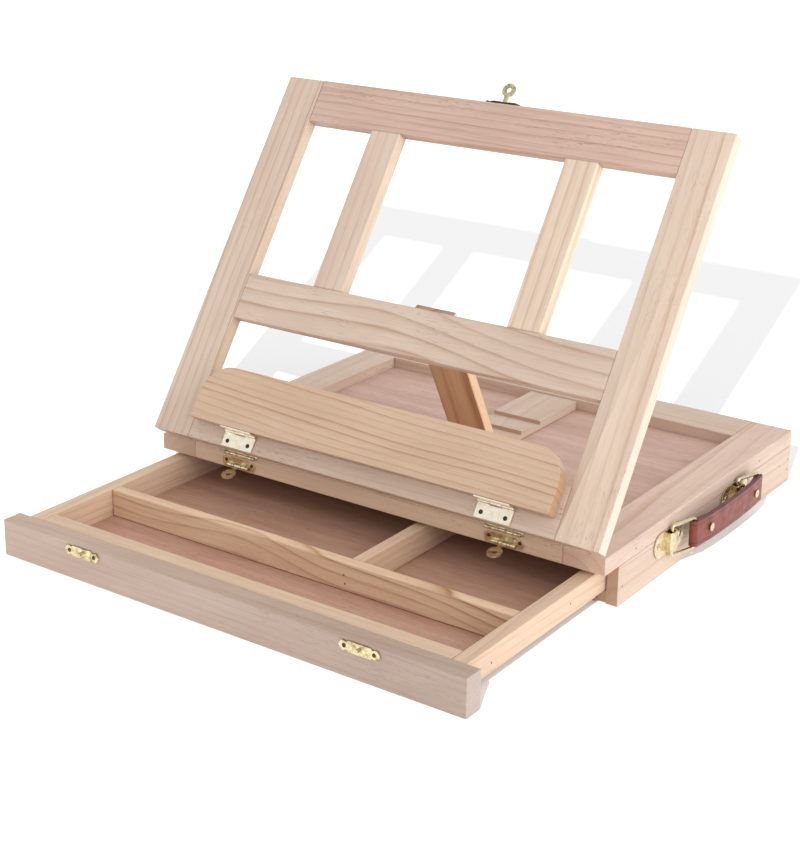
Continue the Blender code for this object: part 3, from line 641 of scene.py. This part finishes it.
plate_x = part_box("handle_bracket_front")[0].x + PLATE_THICKNESS * MM
for label in ("front", "rear"):
    low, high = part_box("handle_bracket_" + label)
    middle = (low + high) / 2
    screws("bracket_screws_" + label, "case",
           [Vector((plate_x, middle.y + offset * MM, middle.z)) for offset in BRACKET_SCREWS],
           X, BRASS_POLISHED, 2.3, 0.9, 0.9)

low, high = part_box("back_keeper")
middle = (low + high) / 2
screws("back_keeper_screws", "case",
       [Vector((middle.x + offset * MM, low.y + PLATE_THICKNESS * MM, middle.z)) for offset in KEEPER_SCREWS],
       Y, BRASS_DARK, 1.25)
screws("top_latch_screws", "easel",
       [on_frame(TOP_LATCH_X + offset, *TOP_SCREW_PLACE) for offset in TOP_LATCH_SCREWS],
       UP_FRAME, BRASS_DARK, 1.2)

NAIL = brass("nail_steel", linear(128, 112, 92), linear(64, 50, 38), 0.4, False)
# Nails: node, its body, the way the heads face, then where they sit as shares of the node's box.
NAILS = {
    "case_right_side": ("case", X,
                        [(1.0, 0.02, 0.45), (1.0, 0.93, 0.62), (1.0, 0.985, 0.36), (1.0, 0.985, 0.66)]),
    "case_right_rail": ("case", X, [(1.0, 0.14, 0.40), (1.0, 0.80, 0.45)]),
    "case_left_side": ("case", -X, [(0.0, 0.03, 0.5), (0.0, 0.97, 0.35), (0.0, 0.97, 0.7)]),
    "case_left_rail": ("case", -X, [(0.0, 0.14, 0.45), (0.0, 0.80, 0.45)]),
    "case_back": ("case", Y, [(0.03, 1.0, 0.5), (0.35, 1.0, 0.5), (0.66, 1.0, 0.5), (0.97, 1.0, 0.5)]),
    "drawer_long_divider": ("drawer", -Y, [(0.615, 0.0, 0.55), (0.618, 0.0, 0.25)]),
    "drawer_right_side": ("drawer", X, [(1.0, 0.10, 0.55), (1.0, 0.45, 0.62)]),
    "drawer_left_side": ("drawer", -X, [(0.0, 0.10, 0.55), (0.0, 0.45, 0.62)]),
}
for node_name, (body, normal, shares) in NAILS.items():
    spots = [on_face(node_name, share) for share in shares]

    def nail_heads(mesh):
        for spot in spots:
            where = facing_matrix(spot, normal)
            rings = [[(x * size * MM, y * size * MM, z * MM) for x, y in unit_circle(12)]
                     for size, z in ((0.62, -0.3), (0.62, 0.02), (0.40, 0.06))]
            add_rings(mesh, rings, where)
    piece("nails_" + node_name, body, nail_heads, NAIL)

# --- Glue lines: thin strips of the boards' own wood that close the joints between boards of one body ---


def slab(mesh, limits, to_world):
    """Closed box between millimetre limits, placed by a function of its corner coordinates."""
    (x0, x1), (y0, y1), (z0, z1) = limits
    inset = 0.02
    rings = [[to_world(x, y, z) for x, y in ((x0 + inset, y0 + inset), (x1 - inset, y0 + inset),
                                             (x1 - inset, y1 - inset), (x0 + inset, y1 - inset))]
             for z in (z0 + inset, z1 - inset)]
    add_rings(mesh, rings, Matrix.Identity(4))


# Where the frame's stiles, the top's side rails and the side boards end on their inner side.
STILE_INNER = HALF - 29.5
RAIL_INNER = HALF - 28.5
SIDE_INNER = HALF - 8.0
FRAME_DEPTH = (0.3, 9.38)
RAIL_HEIGHT = (26.3, 36.85)
BESIDE_STILE = (STILE_INNER - 0.3, STILE_INNER)
BESIDE_RAIL = (RAIL_INNER - 0.3, RAIL_INNER)
MUNTIN_WIDTH = (63.9, 86.1)
# Glue line: body, board whose look it takes, its coordinates, then its limits in mm on their three axes.
GLUE = {
    "stile_top": ("easel", "easel_top_rail", on_frame, (BESIDE_STILE, (233.8, 263.5), FRAME_DEPTH)),
    "stile_mid": ("easel", "easel_mid_rail", on_frame, (BESIDE_STILE, (86.8, 117.8), FRAME_DEPTH)),
    "stile_low": ("easel", "easel_bottom_rail", on_frame, (BESIDE_STILE, (0.5, 32.4), FRAME_DEPTH)),
    "muntin_foot": ("easel", "easel_left_muntin", on_frame, (MUNTIN_WIDTH, (118.3, 118.6), FRAME_DEPTH)),
    "muntin_head": ("easel", "easel_left_muntin", on_frame, (MUNTIN_WIDTH, (233.0, 233.3), FRAME_DEPTH)),
    "front_mitre": ("case", "case_front_rail", on_case,
                    (BESIDE_RAIL, (FRONT + 0.1, FRONT + 29.6), RAIL_HEIGHT)),
    "back_mitre": ("case", "case_back_rail", on_case,
                   (BESIDE_RAIL, (BACK - 33.6, BACK - 0.1), RAIL_HEIGHT)),
    "side_top": ("case", "case_right_rail", on_case,
                 ((SIDE_INNER + 0.4, HALF - 0.08), (FRONT + 17.4, BACK - 0.4), (25.7, 26.0))),
    "back_end": ("case", "case_back", on_case,
                 ((SIDE_INNER - 0.3, SIDE_INNER), (BACK - 9.6, BACK - 0.08), (0.4, 25.3))),
}
for label, (body, like, to_world, limits) in GLUE.items():
    def both_sides(mesh):
        for sign in (-1, 1):
            slab(mesh, limits, lambda x, y, z: to_world(sign * x, y, z))
    piece("glue_" + label, body, both_sides, nodes[like].data.materials[0])

# --- Floor, light and camera -----------------------------------------------------------------------

# The floor's glow: the distances in metres it grows between, and its strength at each.
GLOW_STARTS = 0.85
GLOW_ENDS = 2.4
GLOW_NEAR = 0.13
GLOW_FAR = 0.65
WORLD_STRENGTH = 0.91
FLOOR_LAMP_PLACE = (0.54, -1.14, 0.735)
FLOOR_LAMP_POWER = 52.0
SOFTBOX_STRENGTH = 1.05
SOFTBOX_DIRECTION = (-0.93, 0.12, -0.36)

floor_mesh = bmesh.new()
bmesh.ops.create_grid(floor_mesh, x_segments=1, y_segments=1, size=14.0)
floor_data = bpy.data.meshes.new("studio_floor")
floor_mesh.to_mesh(floor_data)
floor_mesh.free()
floor = bpy.data.objects.new("studio_floor", floor_data)
floor.location.z = -0.2 * MM
bpy.context.scene.collection.objects.link(floor)
floor_look = Nodes("floor_paint")
floor_look.shader.inputs["Base Color"].default_value = (0.75, 0.75, 0.755, 1.0)
floor_place = floor_look.node("ShaderNodeTexCoord").outputs["Object"]
# The sweep brightens away from the easel, like a lit studio background.
away = floor_look.vector("LENGTH", floor_look.vector("SUBTRACT", floor_place, (0.0, 0.1, 0.0)))
floor_look.link(floor_look.spread(away, GLOW_STARTS, GLOW_ENDS, GLOW_NEAR, GLOW_FAR),
                floor_look.shader.inputs["Emission Strength"])
floor_look.shader.inputs["Emission Color"].default_value = (1.0, 1.0, 1.0, 1.0)
floor_look.shader.inputs["Roughness"].default_value = 0.85
floor_look.shader.inputs["Specular IOR Level"].default_value = 0.1
floor_data.materials.append(floor_look.material)

world = bpy.data.worlds.new("studio")
bpy.context.scene.world = world
world.use_nodes = True
world.node_tree.nodes["Background"].inputs["Color"].default_value = (1.0, 1.0, 1.0, 1.0)
world.node_tree.nodes["Background"].inputs["Strength"].default_value = WORLD_STRENGTH


def lamp(name, kind, energy, location=(0, 0, 0), aim=None, **settings):
    """Add a light, turned to shine along aim if one is given."""
    data = bpy.data.lights.new(name, kind)
    data.energy = energy
    for key, value in settings.items():
        setattr(data, key, value)
    item = bpy.data.objects.new(name, data)
    item.location = location
    if aim is not None:
        item.rotation_euler = Vector(aim).to_track_quat('-Z', 'Y').to_euler()
    bpy.context.scene.collection.objects.link(item)
    return item


lamp("side_softbox", 'SUN', SOFTBOX_STRENGTH, aim=SOFTBOX_DIRECTION, angle=math.radians(50))
# The floor lamp lights nothing but the floor, so that the easel throws a pale shadow there.
floor_lamp = lamp("floor_lamp", 'POINT', FLOOR_LAMP_POWER, FLOOR_LAMP_PLACE, shadow_soft_size=0.008)
floor_lamp.data.use_nodes = True
lamp_tree = floor_lamp.data.node_tree
falloff = lamp_tree.nodes.new("ShaderNodeLightFalloff")
falloff.inputs["Strength"].default_value = 1.0
lamp_tree.links.new(falloff.outputs["Constant"], lamp_tree.nodes["Emission"].inputs["Strength"])
receivers = bpy.data.collections.new("floor_only")
receivers.objects.link(floor)
floor_lamp.light_linking.receiver_collection = receivers

# The camera stands to the right of the front and looks slightly down.
CAMERA_PLACE = (0.601, -0.956, 0.457)
CAMERA_HEADING = math.radians(35.1)
CAMERA_DOWN = math.radians(16.7)
CAMERA_ROLL = math.radians(0.7)
camera_data = bpy.data.cameras.new("camera")
camera_data.sensor_width = 36.0
camera_data.lens = 74.0
camera_data.shift_x = 0.004
camera_data.shift_y = -0.131
camera_data.clip_end = 60.0
camera = bpy.data.objects.new("camera", camera_data)
camera.matrix_world = (Matrix.Translation(CAMERA_PLACE)
                       @ Matrix.Rotation(CAMERA_HEADING, 4, 'Z')
                       @ Matrix.Rotation(math.radians(90) - CAMERA_DOWN, 4, 'X')
                       @ Matrix.Rotation(CAMERA_ROLL, 4, 'Z'))
bpy.context.scene.collection.objects.link(camera)
bpy.context.scene.camera = camera
bpy.context.scene.view_settings.view_transform = 'Standard'
